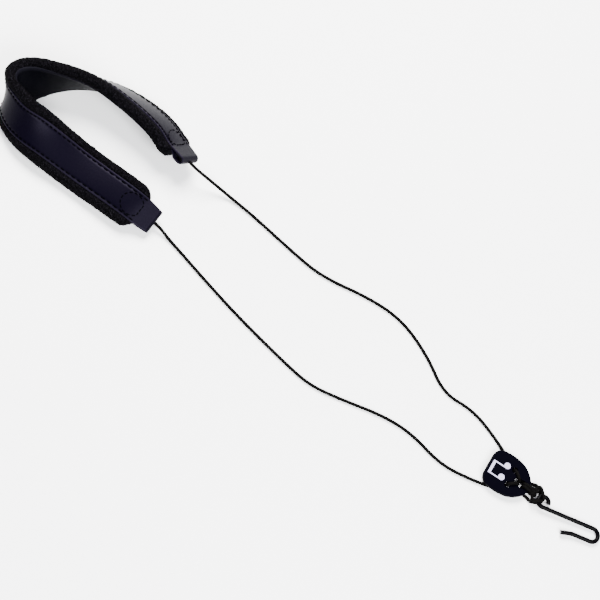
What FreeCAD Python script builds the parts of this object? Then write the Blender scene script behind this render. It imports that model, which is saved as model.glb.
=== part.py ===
"""Saxophone neck strap: padded neck band, two cords, an adjusting slider and a coated wire hook.

Millimetres. +X runs from the neck pad to the hook, +Z is up from the table the strap lies on.
The strap lies as it is put down: the pad bent in a U on its edge, the cords loose, the rest flat.
"""
import FreeCAD
import Part
import math
import os

V = FreeCAD.Vector
os.makedirs("parts", exist_ok=True)

# Neck pad: stations along its middle from the near end, round the bend, to the far end.
# Each is x, y, z and the lean of the strip in degrees: its top edge leans into the U.
PAD_STATIONS = [
    (-152, -28, 9.3, 69),
    (-203, -25, 8.8, 75),
    (-249, -23, 14.8, 65),
    (-278.4, -17, 20.3, 27),
    (-286.6, 4, 19.8, -35),
    (-262, 28, 20.3, 4),
    (-225, 44, 17.8, 36),
    (-180, 42, 16.1, 52),
    (-155, 33, 13.9, 55),
]
NEAR_END_DIRECTION = (-36, -1, 12)
FAR_END_DIRECTION = (33, -14, 6)
PAD_SECTIONS = 34

# Leather strip, a little narrower towards its ends, and the padding it lies on.
STRIP_END_WIDTH = 24.0
STRIP_EXTRA_WIDTH = 2.4
STRIP_TAPER_STEPS = 2.6
STRIP_THICK = 1.6
STRIP_LOW = 4.2
LOBE_BEYOND = 6.9
LOBE_INSIDE = -4.2
LOBE_OUTSIDE = 5.2
GROOVE_BEYOND = 0.3
COVER_WALL = 1.2
LINING_BEYOND = 2.6
LINING_THICK = 0.8
# Width lost on each edge at an end of the pad, and the steps it takes to be regained.
END_ROUNDING = 5.0
END_ROUNDING_STEPS = 0.2

# Flat loop at each end of the leather strip, with the cord's hole in its fold.
LOOP_LENGTH = 15.5
LOOP_HEIGHT = 7.4
LOOP_END_WIDTH = 20.5
LOOP_CLOSED_LENGTH = 3.0
LOOP_HEEL_OUTER = 2.2
LOOP_HEEL_INNER = 0.9
LOOP_HOLE_R = 1.35
KNOT_R = 1.9
KNOT_LENGTH = 4.4
KNOT_FACE_BACK = 2.2

# Stitches.
STITCH_PITCH = 4.0
STITCH_LENGTH = 2.7
STITCH_R = 0.3
STITCH_CLEAR = 0.2
STITCH_INSET = 2.2
# The seam at each end is a circle of stitches cut by a straight row near the strip's end.
END_SEAM_R = 8.8
END_SEAM_BACK = 8.0
END_SEAM_ROW_BACK = 0.8
END_SEAM_ROW_STITCHES = 3

# Cord.
CORD_D = 2.1
CORD_Z = 1.1

# Slider plate: local x runs from its flat top edge to its tip.
SLIDER_X = 188.5
SLIDER_Y = -44.5
PLATE_BOTTOM = 2.3
PLATE_THICK = 3.2
PLATE_HALF_OUTLINE = [
    (0.6, 11.2), (2.2, 13.8), (5.5, 16.2), (10, 17.1), (15, 17.3), (20, 16.9),
    (25, 15.8), (29.5, 13.7), (33.5, 10.4), (36.8, 6.2),
]
PLATE_TIP = 38.6
TOP_EDGE_HALF = 8.4
EDGE_ROUND = 0.8
SIDE_HOLE_X = 21.2
SIDE_HOLE_Y = 7.0
SIDE_HOLE_R = 2.4
CENTRE_SLOT_X = (24.4, 35.0)
CENTRE_SLOT_HALF = 3.3
PRINT_THICK = 0.15

# Wire hook: local u runs along the shank from the centre of the eye, local v to its left.
EYE_X = 241.6
EYE_Y = -46.7
EYE_Z = 4.1
EYE_R = 4.5
WIRE_D = 3.3
WIRE_CORE_D = 2.3
HOOK_TURN = 12.0
HOOK_TILT = 2.6
HOOK_BEND_U = 45.4
HOOK_BEND_R = 5.6
EYE_END_ANGLE = -6.0
RETURN_U = 29.5
TIP_LENGTH = 9.8
TIP_FLARE = 15.0

# Cord bights round the eye's wire.
BIGHT_R = 2.85
BIGHT_REACH = 6.6
BIGHT_ANGLES = {"near": 212.0, "far": 131.0}

# The cord at the slider, in the plate's own x and y: each cord comes up through a side hole,
# crosses to the centre hole, goes down and out to the hook, and comes back to the end knot.
LEAD_IN = 6.0
CORD_GAP = 0.05
CROSSING = (28.2, 1.3)
UNDER_CORNER = (31.5, 4.6)
LACING_END = {"near": (37.2, -5.4), "far": (37.2, 6.2)}
TAIL_HOLE = (32.6, 1.15)
TAIL_LIP = (38.6, 1.3)
TAIL_END_X = 41.2
TAIL_DIP = 1.5
OUT_LEAD = 3.0
OUT_VIA = {"near": (42.8, -6.75), "far": (42.9, 8.4)}
OUT_REACH = {"near": 9.0, "far": 10.4}
BACK_START = (42.6, 2.2, 4.6)
BACK_VIA = {"near": (43.0, -6.2, 6.0), "far": (43.4, 5.6, 6.0)}
BACK_REACH = {"near": 9.2, "far": 11.0}
END_KNOT_LOW = (39.3, -3.5, 0.5)
END_KNOT_SIZE = (4.8, 7.0, 6.6)
END_KNOT_ROUND = 2.2

# Free cords, from the fold of each loop to the slider. The cord first runs straight out of the
# knot and the hole by CORD_LEAD.
CORD_LEAD = 7.0
NEAR_CORD = [
    (-121.5, -31, 1.6), (-103, -36.3, 1.1), (-71.4, -46.1, 1.1), (-38, -55.5, 1.1),
    (8, -66, 1.1), (36, -71, 1.1), (63, -66.5, 1.1), (98, -58.5, 1.1), (125, -58, 1.1),
    (155, -66.5, 1.1), (180, -64.2, 1.1),
]
FAR_CORD = [
    (-124.7, 27.2, 14), (-110.5, 29.4, 6.2), (-96, 29.7, 1.6), (-76.5, 27.7, 1.1),
    (-38, 20.5, 1.1), (-3, 15, 1.1), (40, 22.5, 1.1), (72, 21.5, 1.1), (104, 7, 1.1),
    (130, -13, 1.1), (157, -11.5, 1.1), (182, -20.5, 1.1),
]
LACING_START = {"near": (195.0, -60.6), "far": (195.6, -27.6)}


def export(name, shape):
    """Write one node's shape."""
    shape.exportStep("parts/" + name + ".step")
    box = shape.BoundBox
    print(name, "solids", len(shape.Solids), "valid", shape.isValid(),
          "volume %.1f" % shape.Volume,
          "x %.1f..%.1f y %.1f..%.1f z %.2f..%.2f" % (
              box.XMin, box.XMax, box.YMin, box.YMax, box.ZMin, box.ZMax))


def as_vector(point):
    return V(point[0], point[1], point[2])


# ---------------------------------------------------------------- neck pad

def station_frames():
    """The pad's middle line and the line of its raised edge, as two matching splines."""
    middles = [as_vector(station) for station in PAD_STATIONS]
    raised = []
    near_direction = as_vector(NEAR_END_DIRECTION)
    far_direction = as_vector(FAR_END_DIRECTION)
    directions = [near_direction]
    for index in range(1, len(middles) - 1):
        directions.append(middles[index + 1] - middles[index - 1])
    directions.append(far_direction)
    for index, station in enumerate(PAD_STATIONS):
        along = V(directions[index]).normalize()
        inward = along.cross(V(0, 0, 1)).normalize()
        upward = inward.cross(along)
        lean = math.radians(station[3])
        raised.append(upward * math.cos(lean) + inward * math.sin(lean))
    edges = [middle + edge * 20 for middle, edge in zip(middles, raised)]
    steps = [float(index) for index in range(len(middles))]
    middle = Part.BSplineCurve()
    middle.interpolate(Points=middles, Parameters=steps,
                       InitialTangent=near_direction, FinalTangent=far_direction)
    edge = Part.BSplineCurve()
    edge.interpolate(Points=edges, Parameters=steps,
                     InitialTangent=near_direction + (raised[1] - raised[0]) * 20,
                     FinalTangent=far_direction + (raised[-1] - raised[-2]) * 20)
    return middle, edge


MIDDLE, EDGE = station_frames()
LAST = float(len(PAD_STATIONS) - 1)


def pad_frame(step):
    """Centre, direction along the pad, direction across it and outward normal at one step."""
    centre = MIDDLE.value(step)
    along = MIDDLE.tangent(step)[0].normalize()
    across = EDGE.value(step) - centre
    across = (across - along * across.dot(along)).normalize()
    outward = across.cross(along).normalize()
    return centre, along, across, outward


def pad_point(step, width, height):
    centre, along, across, outward = pad_frame(step)
    return centre + across * width + outward * height


def strip_half(step):
    """Half the strip's width: narrow at its ends, full in the middle."""
    share = min(1.0, min(step, LAST - step) / STRIP_TAPER_STEPS)
    eased = share * share * (3 - 2 * share)
    return (STRIP_END_WIDTH + STRIP_EXTRA_WIDTH * eased) / 2


def end_loss(step):
    """Width the padding loses on each edge near its ends."""
    share = max(0.0, 1 - min(step, LAST - step) / END_ROUNDING_STEPS)
    return END_ROUNDING * share * share


def padding_wire(step, inset):
    """A section of the padding: round edges that stand proud of the groove for the strip."""
    lost = end_loss(step)
    low = LOBE_INSIDE + inset
    high = LOBE_OUTSIDE - inset - min(LOBE_OUTSIDE - STRIP_LOW, lost / 2)
    floor = STRIP_LOW - inset
    radius = (high - low) / 2
    middle = (high + low) / 2
    side = strip_half(step) + LOBE_BEYOND - lost - inset
    lip = min(strip_half(step) + GROOVE_BEYOND, side - radius - 0.2)

    def at(width, height):
        return pad_point(step, width, height)

    edges = [
        Part.LineSegment(at(radius - side, low), at(side - radius, low)),
        Part.Arc(at(side - radius, low), at(side, middle), at(side - radius, high)),
        Part.LineSegment(at(side - radius, high), at(lip, floor)),
        Part.LineSegment(at(lip, floor), at(-lip, floor)),
        Part.LineSegment(at(-lip, floor), at(radius - side, high)),
        Part.Arc(at(radius - side, high), at(-side, middle), at(radius - side, low)),
    ]
    return Part.Wire([edge.toShape() for edge in edges])


def pad_steps(inset):
    """Steps along the pad, closer together at its ends, where it narrows.

    The first and last are an inset in from the pad's ends.
    """
    starts = [inset * LAST / MIDDLE.length()]
    starts += [END_ROUNDING_STEPS * share for share in (0.3, 0.65, 1.0)]
    inner = [LAST * index / PAD_SECTIONS for index in range(2, PAD_SECTIONS - 1)]
    return starts + inner + [LAST - step for step in reversed(starts)]


def ribbon(half_width, low, high):
    """A flat strip laid along the pad; half_width gives its half width at each step."""
    wires = []
    for step in pad_steps(0.0):
        half = half_width(step)
        outline = [(-half, low), (half, low), (half, high), (-half, high), (-half, low)]
        wires.append(Part.makePolygon([pad_point(step, width, height) for width, height in outline]))
    return Part.makeLoft(wires, True, False)


def lining_half(step):
    """Half the lining's width, which draws in at the ends as the padding does."""
    return strip_half(step) + LINING_BEYOND - end_loss(step) * 0.6


def padding(inset):
    """The padded body, drawn in by an inset all round."""
    wires = [padding_wire(step, inset) for step in pad_steps(inset)]
    return Part.makeLoft(wires, True, False)


def end_frame(side):
    """Frame at a pad end, with the first direction pointing out of the end."""
    step = 0.0 if side == "near" else LAST
    centre, along, across, outward = pad_frame(step)
    if side == "near":
        along = along * -1
    return centre, along, across, outward


def end_point(side, out, width, height):
    centre, along, across, outward = end_frame(side)
    return centre + along * out + across * width + outward * height


def loop_prism(side, inset, start, heel):
    """The loop's outline drawn in by an inset, as a prism across the strip."""
    top = STRIP_HIGH - inset
    bottom = STRIP_HIGH - LOOP_HEIGHT + inset
    middle = (top + bottom) / 2
    radius = (top - bottom) / 2
    far = LOOP_LENGTH - LOOP_HEIGHT / 2
    width = -STRIP_END_WIDTH / 2 - 1

    def at(out, height):
        return end_point(side, out, width, height)

    edges = [
        Part.LineSegment(at(start, top), at(far, top)),
        Part.Arc(at(far, top), at(far + radius, middle), at(far, bottom)),
        Part.LineSegment(at(far, bottom), at(far - 5.0, bottom)),
        Part.LineSegment(at(far - 5.0, bottom), at(start, top - heel)),
        Part.LineSegment(at(start, top - heel), at(start, top)),
    ]
    face = Part.Face(Part.Wire([edge.toShape() for edge in edges]))
    across = end_frame(side)[2]
    return face.extrude(across * (-2 * width))


def loop_plan(side):
    """The loop seen from above, narrowing towards its fold, as a prism through its height."""
    corners = []
    for out, signs in ((-2.0, (1, -1)), (LOOP_LENGTH + 2.0, (-1, 1))):
        half = (STRIP_END_WIDTH - (STRIP_END_WIDTH - LOOP_END_WIDTH) * out / LOOP_LENGTH) / 2
        for sign in signs:
            corners.append(end_point(side, out, sign * half, -LOOP_HEIGHT))
    face = Part.Face(Part.makePolygon(corners + [corners[0]]))
    outward = end_frame(side)[3]
    return face.extrude(outward * (3 * LOOP_HEIGHT))


def loop_solid(side):
    """The strip folded back on itself, open at both sides, with a hole in the fold."""
    outside = loop_prism(side, 0.0, 0.0, LOOP_HEEL_OUTER)
    inside = loop_prism(side, STRIP_THICK, LOOP_CLOSED_LENGTH, LOOP_HEEL_INNER)
    out = end_frame(side)[1]
    hole = Part.makeCylinder(LOOP_HOLE_R, 6, end_point(side, LOOP_LENGTH - 4, 0, LOOP_MIDDLE), out)
    return outside.cut(inside).common(loop_plan(side)).cut(hole)


def knot_solid(side):
    """A stopper knot inside the loop: a rounded barrel, its flat face at the fold."""
    start = end_point(side, LOOP_LENGTH - KNOT_FACE_BACK - KNOT_LENGTH, 0, LOOP_MIDDLE)
    barrel = Part.makeCylinder(KNOT_R, KNOT_LENGTH, start, end_frame(side)[1])
    return barrel.makeFillet(0.9, [edge for edge in barrel.Edges if edge.Closed])


def cord_exit(side, lead):
    """A point a lead out from the middle of the knot's flat face, where the free cord starts."""
    return end_point(side, LOOP_LENGTH - KNOT_FACE_BACK + lead, 0, LOOP_MIDDLE)


def stitch(start, end):
    """One stitch of thread lying on the leather."""
    direction = end - start
    return Part.makeCylinder(STITCH_R, direction.Length, start, direction)


def edge_stitches(sign):
    """A row of stitches along one edge of the strip."""
    length = MIDDLE.length()
    count = int(length / STITCH_PITCH)
    solids = []
    for index in range(count):
        middle = LAST * (index + 0.5) / count
        half = LAST * STITCH_LENGTH / length / 2
        ends = []
        for step in (middle - half, middle + half):
            ends.append(pad_point(step, sign * (strip_half(step) - STITCH_INSET), STITCH_HEIGHT))
        solids.append(stitch(ends[0], ends[1]))
    return Part.makeCompound(solids)


def seam_point(side, back, width):
    """A point on the strip's face, a distance back along the strip from one of its ends."""
    distance = back if side == "near" else MIDDLE.length() - back
    return pad_point(MIDDLE.parameterAtDistance(distance, 0.0), width, STITCH_HEIGHT)


def end_stitches(side):
    """The seam that holds the folded end: a circle of stitches cut by a straight row."""
    row_reach = END_SEAM_BACK - END_SEAM_ROW_BACK
    row_half = math.sqrt(END_SEAM_R ** 2 - row_reach ** 2)
    first_turn = math.atan2(row_half, row_reach)
    arc = 2 * (math.pi - first_turn)
    solids = []
    for index in range(END_SEAM_ROW_STITCHES):
        width = row_half * (2 * (index + 0.5) / END_SEAM_ROW_STITCHES - 1)
        half = STITCH_LENGTH / 2
        solids.append(stitch(seam_point(side, END_SEAM_ROW_BACK, width - half),
                             seam_point(side, END_SEAM_ROW_BACK, width + half)))
    turns = int(arc * END_SEAM_R / STITCH_PITCH)
    for index in range(turns):
        turn = first_turn + arc * (index + 0.5) / turns
        spread = STITCH_LENGTH / END_SEAM_R / 2
        ends = []
        for angle in (turn - spread, turn + spread):
            ends.append(seam_point(side, END_SEAM_BACK - END_SEAM_R * math.cos(angle),
                                   END_SEAM_R * math.sin(angle)))
        solids.append(stitch(ends[0], ends[1]))
    return Part.makeCompound(solids)


STRIP_HIGH = STRIP_LOW + STRIP_THICK
LOOP_MIDDLE = STRIP_HIGH - LOOP_HEIGHT / 2
STITCH_HEIGHT = STRIP_HIGH + STITCH_R + STITCH_CLEAR

cover_outside = padding(0.0)
foam_core = padding(COVER_WALL)
mesh_cover = cover_outside.cut(foam_core)
strip = ribbon(strip_half, STRIP_LOW, STRIP_HIGH)
leather_strip = strip.fuse([loop_solid("near"), loop_solid("far")], 0.001)
inner_lining = ribbon(lining_half, LOBE_INSIDE - LINING_THICK, LOBE_INSIDE)

export("foam_core", foam_core)
export("mesh_cover", mesh_cover)
export("leather_strip", leather_strip)
export("inner_lining", inner_lining)
export("stitches_upper", edge_stitches(1))
export("stitches_lower", edge_stitches(-1))
for side in ("near", "far"):
    export("end_seam_" + side, end_stitches(side))
    export("loop_knot_" + side, knot_solid(side))
    print(side, "knot face", cord_exit(side, 0.0), "lead end", cord_exit(side, CORD_LEAD))
print("pad length %.1f" % MIDDLE.length())


# ---------------------------------------------------------------- cords

def tube(name, points, diameter):
    """A cord: straight runs joined by tangent arcs, swept with a round section."""
    edges = []
    radii = []
    start = points[0]
    for index in range(1, len(points) - 1):
        before = points[index - 1]
        corner = points[index]
        after = points[index + 1]
        run_in = (corner - before).Length
        run_out = (after - corner).Length
        back = (before - corner).normalize()
        ahead = (after - corner).normalize()
        half_turn = (math.pi - back.getAngle(ahead)) / 2
        tangent_length = 0.45 * min(run_in, run_out)
        radius = tangent_length / math.tan(half_turn)
        radii.append(radius)
        enter = corner + back * tangent_length
        leave = corner + ahead * tangent_length
        towards = (back + ahead).normalize()
        centre = corner + towards * (radius / math.cos(half_turn))
        through = centre - towards * radius
        edges.append(Part.LineSegment(start, enter).toShape())
        edges.append(Part.Arc(enter, through, leave).toShape())
        start = leave
    edges.append(Part.LineSegment(start, points[-1]).toShape())
    path = Part.Wire(edges)
    direction = (points[1] - points[0]).normalize()
    section = Part.Wire([Part.Circle(points[0], direction, diameter / 2).toShape()])
    solid = path.makePipeShell([section], True, True, 0)
    ideal = math.pi * diameter * diameter / 4 * path.Length
    print(name, "length %.1f" % path.Length, "least radius %.1f" % min(radii),
          "volume ratio %.4f" % (solid.Volume / ideal))
    return solid


def bight_point(side, reach, height):
    """A point in the upright plane of a bight, at a reach from the eye's centre."""
    angle = math.radians(BIGHT_ANGLES[side])
    return V(EYE_X + reach * math.cos(angle), EYE_Y + reach * math.sin(angle), EYE_Z + height)


def plate_point(x, y, z):
    return V(SLIDER_X + x, SLIDER_Y + y, z)


OVER_PLATE = PLATE_BOTTOM + PLATE_THICK + CORD_D / 2 + 0.15
free_routes = {"near": NEAR_CORD, "far": FAR_CORD}
knotted = []
for side, sign in (("near", -1), ("far", 1)):
    lacing_start = V(LACING_START[side][0], LACING_START[side][1], CORD_Z)
    route = [as_vector(point) for point in free_routes[side]]
    arriving = (lacing_start - route[-1]).normalize()
    free = [cord_exit(side, 0.0), cord_exit(side, CORD_LEAD)] + route
    free.append(lacing_start - arriving * CORD_GAP)
    export("cord_" + side, tube("cord_" + side, free, CORD_D))

    lacing = [
        lacing_start,
        lacing_start + arriving * LEAD_IN,
        plate_point(SIDE_HOLE_X, sign * SIDE_HOLE_Y, CORD_Z),
        plate_point(SIDE_HOLE_X, sign * SIDE_HOLE_Y, OVER_PLATE),
        plate_point(CROSSING[0], sign * CROSSING[1], OVER_PLATE),
        plate_point(CROSSING[0], sign * CROSSING[1], CORD_Z),
        plate_point(UNDER_CORNER[0], sign * UNDER_CORNER[1], CORD_Z),
        plate_point(LACING_END[side][0], LACING_END[side][1], CORD_Z),
    ]
    export("lacing_" + side, tube("lacing_" + side, lacing, CORD_D))

    tail = [
        plate_point(TAIL_END_X, sign * TAIL_LIP[1], CORD_Z + TAIL_DIP),
        plate_point(TAIL_LIP[0], sign * TAIL_LIP[1], CORD_Z),
        plate_point(TAIL_HOLE[0], sign * TAIL_HOLE[1], CORD_Z),
        plate_point(TAIL_HOLE[0], sign * TAIL_HOLE[1], OVER_PLATE),
        plate_point(TAIL_LIP[0], sign * TAIL_LIP[1], OVER_PLATE),
        plate_point(TAIL_END_X, sign * TAIL_LIP[1], OVER_PLATE - TAIL_DIP),
    ]
    tail_tube = tube("tail_" + side, tail, CORD_D)
    export("tail_" + side, tail_tube)

    leaving = (lacing[-1] - lacing[-2]).normalize()
    out_points = [
        lacing[-1],
        lacing[-1] + leaving * OUT_LEAD,
        plate_point(OUT_VIA[side][0], OUT_VIA[side][1], CORD_Z),
        bight_point(side, OUT_REACH[side], -BIGHT_R),
        bight_point(side, BIGHT_REACH, -BIGHT_R),
    ]
    export("strand_out_" + side, tube("strand_out_" + side, out_points, CORD_D))

    back_points = [
        plate_point(BACK_START[0], sign * BACK_START[1], BACK_START[2]),
        plate_point(BACK_VIA[side][0], BACK_VIA[side][1], BACK_VIA[side][2]),
        bight_point(side, BACK_REACH[side], BIGHT_R),
        bight_point(side, BIGHT_REACH, BIGHT_R),
    ]
    back_tube = tube("strand_back_" + side, back_points, CORD_D)
    export("strand_back_" + side, back_tube)
    knotted = knotted + [tail_tube, back_tube]

    bight = [
        bight_point(side, BIGHT_REACH, BIGHT_R),
        bight_point(side, EYE_R - BIGHT_R, BIGHT_R),
        bight_point(side, EYE_R - BIGHT_R, -BIGHT_R),
        bight_point(side, BIGHT_REACH, -BIGHT_R),
    ]
    export("bight_" + side, tube("bight_" + side, bight, CORD_D))

# The knot just beyond the tip that both tails and both returning strands end in.
knot_corner = plate_point(END_KNOT_LOW[0], END_KNOT_LOW[1], END_KNOT_LOW[2])
end_knot = Part.makeBox(END_KNOT_SIZE[0], END_KNOT_SIZE[1], END_KNOT_SIZE[2], knot_corner)
end_knot = end_knot.makeFillet(END_KNOT_ROUND, end_knot.Edges)
export("end_knot", end_knot.cut(knotted))


# ---------------------------------------------------------------- slider

def slider_plate():
    """The moulded plate: flat top edge, bulging sides, blunt tip, three holes."""
    left = [V(x, y, 0) for x, y in PLATE_HALF_OUTLINE]
    right = [V(x, -y, 0) for x, y in reversed(PLATE_HALF_OUTLINE)]
    top_left = V(0, TOP_EDGE_HALF, 0)
    top_right = V(0, -TOP_EDGE_HALF, 0)
    outline = Part.BSplineCurve()
    outline.interpolate([top_left] + left + [V(PLATE_TIP, 0, 0)] + right + [top_right])
    straight = Part.LineSegment(top_right, top_left)
    face = Part.Face(Part.Wire([outline.toShape(), straight.toShape()]))
    plate = face.extrude(V(0, 0, PLATE_THICK))
    rims = [edge for edge in plate.Edges if edge.BoundBox.ZLength < 0.01]
    plate = plate.makeFillet(EDGE_ROUND, rims)
    for sign in (-1, 1):
        plate = plate.cut(Part.makeCylinder(
            SIDE_HOLE_R, PLATE_THICK + 2, V(SIDE_HOLE_X, sign * SIDE_HOLE_Y, -1)))
    first = CENTRE_SLOT_X[0] + CENTRE_SLOT_HALF
    second = CENTRE_SLOT_X[1] - CENTRE_SLOT_HALF
    slot = Part.makeBox(second - first, 2 * CENTRE_SLOT_HALF, PLATE_THICK + 2,
                        V(first, -CENTRE_SLOT_HALF, -1))
    for x in (first, second):
        slot = slot.fuse(Part.makeCylinder(CENTRE_SLOT_HALF, PLATE_THICK + 2, V(x, 0, -1)))
    plate = plate.cut(slot.removeSplitter())
    plate.translate(V(SLIDER_X, SLIDER_Y, PLATE_BOTTOM))
    return plate


def note_print():
    """A plain pair of joined quavers printed on the plate."""
    pieces = []
    for y in (-6.5, 4.5):
        head = Part.makeCylinder(2.6, PRINT_THICK, V(14.2, y + 1.9, 0))
        stem = Part.makeBox(11.0, 1.0, PRINT_THICK, V(3.6, y - 0.6, 0))
        pieces.append(head)
        pieces.append(stem)
    beam = Part.makeBox(2.2, 12.0, PRINT_THICK, V(2.6, -7.1, 0))
    printed = beam.fuse(pieces).removeSplitter()
    printed.translate(V(SLIDER_X, SLIDER_Y, PLATE_BOTTOM + PLATE_THICK))
    return printed


export("slider_plate", slider_plate())
export("slider_print", note_print())


# ---------------------------------------------------------------- hook

def hook_path():
    """Centre line of the hook's wire: eye, shank, bend, return leg and flared tip."""
    shank_v = -EYE_R
    return_v = shank_v - 2 * HOOK_BEND_R
    end = math.radians(EYE_END_ANGLE)
    turn = math.radians(HOOK_TURN)
    flare = math.radians(TIP_FLARE)

    def at(u, v):
        x = u * math.cos(turn) - v * math.sin(turn)
        y = u * math.sin(turn) + v * math.cos(turn)
        return V(EYE_X + x, EYE_Y + y, EYE_Z)

    middle_angle = math.radians((EYE_END_ANGLE + 270) / 2)
    eye_end = at(EYE_R * math.cos(end), EYE_R * math.sin(end))
    eye_top = at(EYE_R * math.cos(middle_angle), EYE_R * math.sin(middle_angle))
    pieces = [
        Part.Arc(eye_end, eye_top, at(0, shank_v)),
        Part.LineSegment(at(0, shank_v), at(HOOK_BEND_U, shank_v)),
        Part.Arc(at(HOOK_BEND_U, shank_v), at(HOOK_BEND_U + HOOK_BEND_R, shank_v - HOOK_BEND_R),
                 at(HOOK_BEND_U, return_v)),
        Part.LineSegment(at(HOOK_BEND_U, return_v), at(RETURN_U, return_v)),
        Part.LineSegment(at(RETURN_U, return_v),
                         at(RETURN_U - TIP_LENGTH * math.cos(flare),
                            return_v - TIP_LENGTH * math.sin(flare))),
    ]
    tangent = at(-math.sin(end), math.cos(end)) - at(0, 0)
    tilt_axis = at(0, 1) - at(0, 0)
    return Part.Wire([piece.toShape() for piece in pieces]), eye_end, tangent, tilt_axis


def hook_tube(diameter):
    path, start, direction, tilt_axis = hook_path()
    section = Part.Wire([Part.Circle(start, direction, diameter / 2).toShape()])
    solid = path.makePipeShell([section], True, True, 1)
    solid.rotate(V(EYE_X, EYE_Y, EYE_Z), tilt_axis, HOOK_TILT)
    return solid


hook_wire = hook_tube(WIRE_CORE_D)
hook_coating = hook_tube(WIRE_D).cut(hook_wire)
export("hook_wire", hook_wire)
export("hook_coating", hook_coating)
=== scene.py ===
"""Looks of the saxophone neck strap, built round its CAD frame. Metres, in the row frame."""
import math

import bpy
import numpy as np
from mathutils import Matrix, Vector, noise


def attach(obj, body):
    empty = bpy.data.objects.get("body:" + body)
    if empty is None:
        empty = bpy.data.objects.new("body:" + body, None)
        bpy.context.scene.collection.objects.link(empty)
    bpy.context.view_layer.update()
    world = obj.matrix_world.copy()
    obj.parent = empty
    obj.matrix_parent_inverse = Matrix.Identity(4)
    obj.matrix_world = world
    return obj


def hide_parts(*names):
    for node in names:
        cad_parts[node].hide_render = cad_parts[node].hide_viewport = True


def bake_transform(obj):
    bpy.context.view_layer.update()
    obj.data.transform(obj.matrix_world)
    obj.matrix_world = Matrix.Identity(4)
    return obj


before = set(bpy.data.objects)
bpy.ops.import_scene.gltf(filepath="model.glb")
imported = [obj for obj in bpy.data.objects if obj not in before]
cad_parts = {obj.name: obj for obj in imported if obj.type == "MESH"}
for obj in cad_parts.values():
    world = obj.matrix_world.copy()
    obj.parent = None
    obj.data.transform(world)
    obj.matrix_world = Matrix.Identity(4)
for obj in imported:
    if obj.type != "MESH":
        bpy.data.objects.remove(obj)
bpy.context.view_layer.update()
MM = 0.001

# ---------------------------------------------------------------- camera

CAMERA_AIM = (-0.0067, -0.0124, 0.0)
CAMERA_DISTANCE = 1.6
CAMERA_ELEVATION = 64.0
CAMERA_ROLL = 33.0
CAMERA_LENS = 120.0


def make_camera():
    """The camera looks down on the strap from its side and is rolled about its own axis."""
    data = bpy.data.cameras.new("camera")
    data.lens = CAMERA_LENS
    data.sensor_width = 36.0
    data.clip_start = 0.05
    data.clip_end = 20.0
    camera = bpy.data.objects.new("camera", data)
    bpy.context.scene.collection.objects.link(camera)
    elevation = math.radians(CAMERA_ELEVATION)
    roll = math.radians(CAMERA_ROLL)
    back = Vector((0, -math.cos(elevation), math.sin(elevation)))
    level_up = Vector((0, math.sin(elevation), math.cos(elevation)))
    right = Vector((1, 0, 0)) * math.cos(roll) + level_up * math.sin(roll)
    up = level_up * math.cos(roll) - Vector((1, 0, 0)) * math.sin(roll)
    turn = Matrix((right, up, back)).transposed().to_4x4()
    camera.matrix_world = Matrix.Translation(Vector(CAMERA_AIM) + back * CAMERA_DISTANCE) @ turn
    bpy.context.scene.camera = camera


make_camera()

# ---------------------------------------------------------------- sizes shared with the CAD frame

PAD_STATIONS = [
    (-152, -28, 9.3, 69),
    (-203, -25, 8.8, 75),
    (-249, -23, 14.8, 65),
    (-278.4, -17, 20.3, 27),
    (-286.6, 4, 19.8, -35),
    (-262, 28, 20.3, 4),
    (-225, 44, 17.8, 36),
    (-180, 42, 16.1, 52),
    (-155, 33, 13.9, 55),
]
NEAR_END_DIRECTION = (-36, -1, 12)
FAR_END_DIRECTION = (33, -14, 6)
LAST = len(PAD_STATIONS) - 1
STRIP_END_WIDTH = 24.0
STRIP_EXTRA_WIDTH = 2.4
STRIP_TAPER_STEPS = 2.6
STRIP_LOW = 4.2
STRIP_THICK = 1.6
LOBE_BEYOND = 6.9
LOBE_INSIDE = -4.2
LOBE_OUTSIDE = 5.2
LINING_BEYOND = 2.6
END_ROUNDING = 5.0
END_ROUNDING_STEPS = 0.2
LOOP_LENGTH = 15.5
LOOP_HEIGHT = 7.4
LOOP_END_WIDTH = 20.5
STRIP_HIGH = STRIP_LOW + STRIP_THICK
LOOP_MIDDLE = STRIP_LOW + STRIP_THICK - LOOP_HEIGHT / 2
KNOT_LENGTH = 4.4
KNOT_FACE = LOOP_LENGTH - 2.2
STITCH_PITCH = 4.0
STITCH_LENGTH = 2.7
STITCH_INSET = 2.2
END_SEAM_R = 8.8
END_SEAM_BACK = 8.0
END_SEAM_ROW_BACK = 0.8
END_SEAM_ROW_STITCHES = 3

CORD_D = 2.1
CORD_Z = 1.1
CORD_LEAD = 7.0
NEAR_CORD = [
    (-121.5, -31, 1.6), (-103, -36.3, 1.1), (-71.4, -46.1, 1.1), (-38, -55.5, 1.1),
    (8, -66, 1.1), (36, -71, 1.1), (63, -66.5, 1.1), (98, -58.5, 1.1), (125, -58, 1.1),
    (155, -66.5, 1.1), (180, -64.2, 1.1),
]
FAR_CORD = [
    (-124.7, 27.2, 14), (-110.5, 29.4, 6.2), (-96, 29.7, 1.6), (-76.5, 27.7, 1.1),
    (-38, 20.5, 1.1), (-3, 15, 1.1), (40, 22.5, 1.1), (72, 21.5, 1.1), (104, 7, 1.1),
    (130, -13, 1.1), (157, -11.5, 1.1), (182, -20.5, 1.1),
]
LACING_START = {"near": (195.0, -60.6), "far": (195.6, -27.6)}
SIDES = (("near", -1), ("far", 1))

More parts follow.
